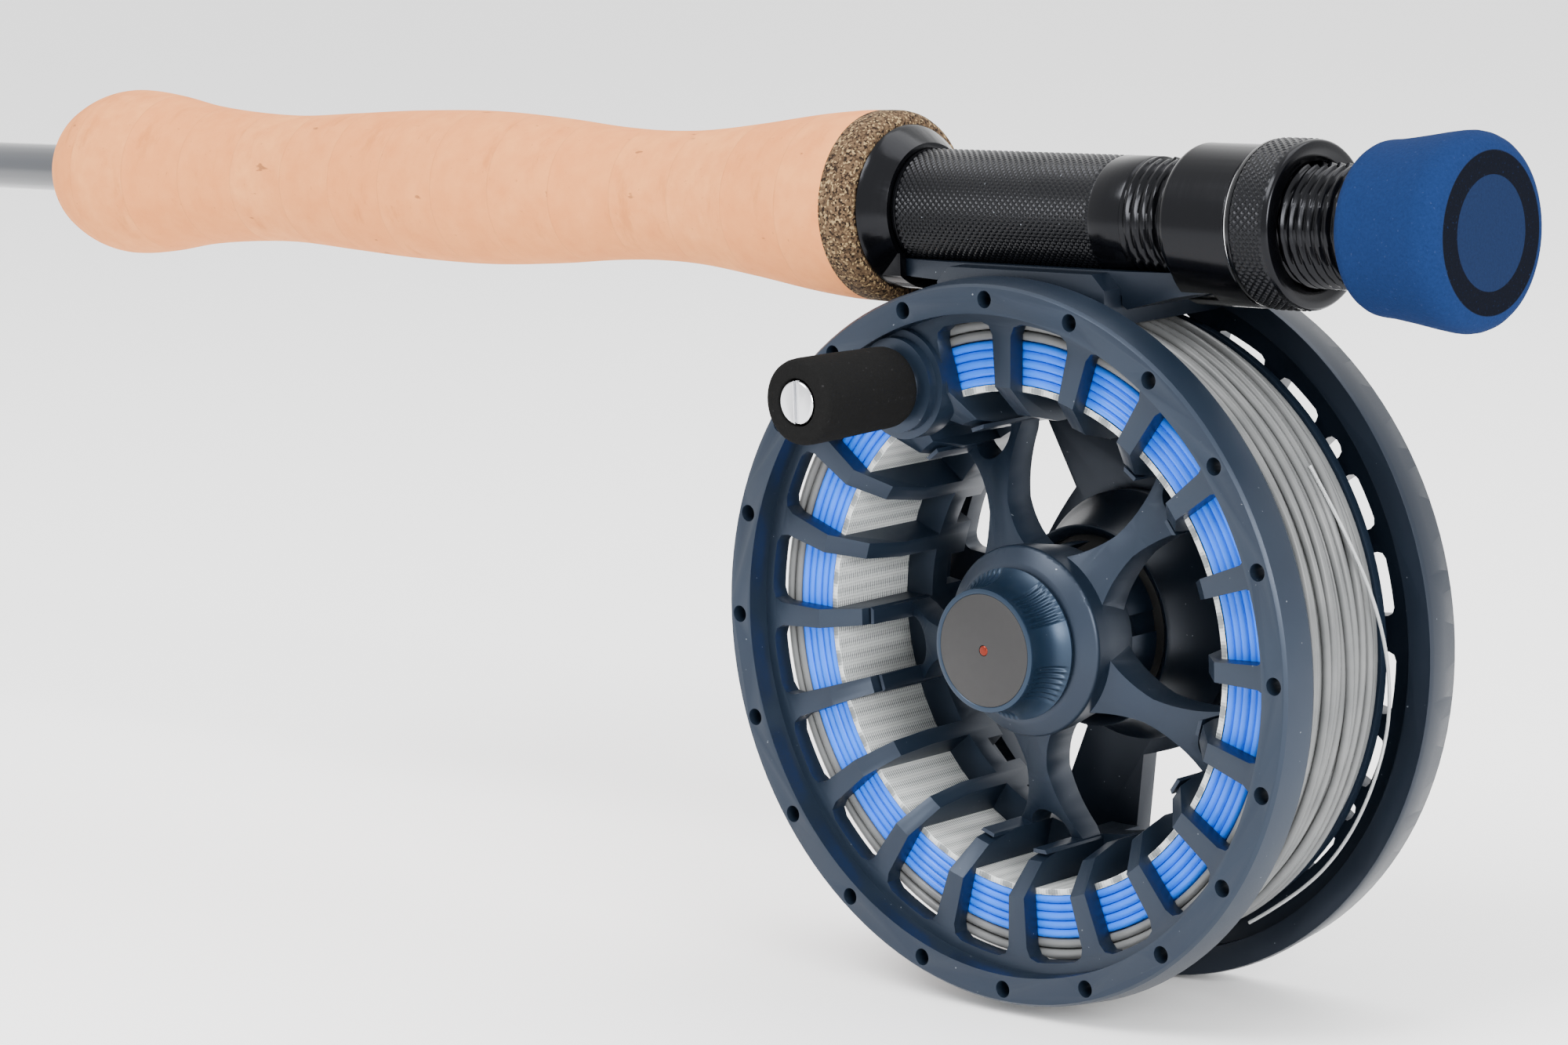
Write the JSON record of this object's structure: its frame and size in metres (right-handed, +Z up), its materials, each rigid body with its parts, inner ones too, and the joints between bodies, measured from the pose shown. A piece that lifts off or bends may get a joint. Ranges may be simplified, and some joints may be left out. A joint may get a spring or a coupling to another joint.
{
  "type": "fly rod butt section with reel",
  "caption": "Butt section of a sectional fly rod: cork grip, threaded reel seat and foam fighting butt, with a ported large-arbor reel full of line.",
  "frame": {"origin": "centre of the flat end face of the fighting butt", "axes": "+X along the rod from the tip to the butt, +Z up with the reel hanging below the rod, handle side of the reel facing -Y"},
  "size_m": [0.7, 0.066, 0.1283],
  "materials": {
    "navy_gloss_graphite": "gloss, lacquered fibre blank",
    "black_thread": "gloss epoxy over dark thread",
    "guide_steel": "bright wire",
    "guide_ceramic": "polished dark ceramic",
    "bright_trim": "polished",
    "black_anodised": "gloss black anodised",
    "cork": "sanded natural cork",
    "burl_cork": "speckled pressed cork",
    "arbor_foam": "sanded filler",
    "blue_foam": "speckled closed-cell foam",
    "inlay_print": "printed disc",
    "frame_anodised": "near-black satin anodised",
    "navy_anodised": "satin anodised",
    "blue_anodised": "satin anodised",
    "dark_cap": "satin disc",
    "red_rivet": "anodised",
    "stainless": "turned",
    "carbon_disc": "woven friction disc",
    "seal_rubber": "moulded",
    "handle_foam": "matt dense foam",
    "backing_braid": "braided",
    "running_line": "smooth coated line",
    "head_line": "smooth coated line",
    "clear_leader": "clear monofilament"
  },
  "bodies": {
    "rod_and_reel_frame": {"blank": "navy_gloss_graphite", "ferrule_spigot": "navy_gloss_graphite", "ferrule_wrap": "black_thread", "guide_frame": "guide_steel", "guide_ring": "guide_ceramic", "guide_wraps": "black_thread", "hook_keeper": "guide_steel", "keeper_wraps": "black_thread", "trim_ring": "bright_trim", "winding_check": "black_anodised", "cork_grip": "cork", "burl_ring": "burl_cork", "fixed_hood": "black_anodised", "seat_barrel": "black_anodised", "seat_arbor": "arbor_foam", "fighting_butt": "blue_foam", "butt_inlay": "inlay_print", "reel_foot": "frame_anodised", "foot_screws": "stainless", "reel_frame": "frame_anodised", "drag_housing": "frame_anodised", "housing_seal": "seal_rubber", "stator_disc": "stainless", "pawl_pin": "stainless", "main_spindle": "stainless", "spindle_nut": "stainless", "disc_springs": "stainless", "leader": "clear_leader"},
    "hood": {"sliding_hood": "black_anodised", "nut_washer": "bright_trim"},
    "nut": {"lock_nut": "black_anodised"},
    "drag_rotor": {"drag_rotor": "stainless", "click_ring": "stainless", "friction_discs": "carbon_disc"},
    "click_pawl": {"click_pawl": "stainless"},
    "pressure_plate": {"pressure_plate": "stainless", "thrust_pins": "stainless"},
    "drag_knob": {"drag_knob": "navy_anodised", "knob_screw": "stainless"},
    "spool": {"spool": "navy_anodised", "hub_bearing": "stainless", "clutch_bearing": "stainless", "hub_retainer": "stainless", "handle_screw": "stainless", "handle_post": "stainless", "handle_washer": "bright_trim", "backing_winding": "backing_braid", "running_line_winding": "running_line", "head_winding": "head_line"},
    "handle": {"handle_grip": "handle_foam"},
    "cap": {"release_cap": "blue_anodised", "cap_disc": "dark_cap", "cap_rivet": "red_rivet", "cap_clip": "stainless"}
  },
  "joints": [
    {"name": "hood_slide", "type": "slide", "parent": "rod_and_reel_frame", "child": "hood", "axis": [1, 0, 0], "range_m": [0, 0.008]},
    {"name": "nut_turn", "type": "hinge", "parent": "hood", "child": "nut", "pos_m": [-0.032, 0, 0], "axis": [1, 0, 0], "range_deg": [0, 1900]},
    {"name": "rotor_turn", "type": "hinge", "parent": "rod_and_reel_frame", "child": "drag_rotor", "pos_m": [-0.074, 0, -0.0603], "axis": [0, 1, 0], "continuous": true},
    {"name": "spool_slide", "type": "slide", "parent": "drag_rotor", "child": "spool", "axis": [0, -1, 0], "range_m": [0, 0.045]},
    {"name": "handle_turn", "type": "hinge", "parent": "spool", "child": "handle", "pos_m": [-0.09227, -0.028, -0.02382], "axis": [0, 1, 0], "continuous": true},
    {"name": "cap_turn", "type": "hinge", "parent": "spool", "child": "cap", "pos_m": [-0.074, -0.018, -0.0603], "axis": [0, 1, 0], "range_deg": [0, 900]},
    {"name": "drag_knob_turn", "type": "hinge", "parent": "rod_and_reel_frame", "child": "drag_knob", "pos_m": [-0.074, 0.024, -0.0603], "axis": [0, 1, 0], "range_deg": [0, 300]},
    {"name": "pressure_slide", "type": "slide", "parent": "rod_and_reel_frame", "child": "pressure_plate", "axis": [0, -1, 0], "range_m": [0, 0.00042]},
    {"name": "pawl_swing", "type": "hinge", "parent": "rod_and_reel_frame", "child": "click_pawl", "pos_m": [-0.0849, 0.008, -0.06427], "axis": [0, 1, 0], "range_deg": [0, 6]}
  ],
  "couplings": [
    {"joint": "hood_slide", "follows": "nut_turn", "m_per_rad": 0.00023873},
    {"joint": "pressure_slide", "follows": "drag_knob_turn", "m_per_rad": 0.000076394}
  ]
}
